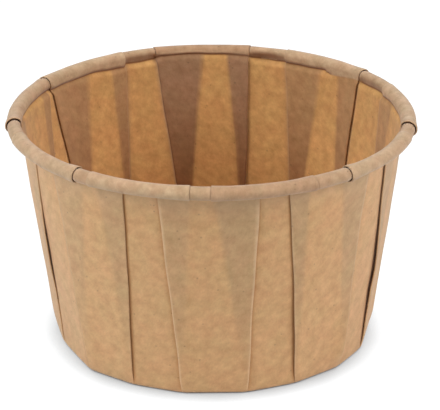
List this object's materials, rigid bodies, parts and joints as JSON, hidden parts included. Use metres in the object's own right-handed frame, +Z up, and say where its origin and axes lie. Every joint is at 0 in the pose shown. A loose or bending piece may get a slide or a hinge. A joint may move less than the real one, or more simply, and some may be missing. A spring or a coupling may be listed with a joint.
{
  "type": "pleated paper portion cup",
  "caption": "Small open cup of pleated brown kraft paper with a flared wall, a flat base and a rolled rim.",
  "frame": {"origin": "on the axis, at the underside of the base", "axes": "+Z up along the cup's axis, towards the open rim; -Y is the front, and one inner panel is centred on +Y"},
  "size_m": [0.073, 0.0729, 0.0418],
  "materials": {
    "kraft_paper": "matt uncoated brown kraft, slightly translucent where it is one layer thick"
  },
  "bodies": {
    "root": {"pleated_cup": "kraft_paper"}
  },
  "joints": []
}
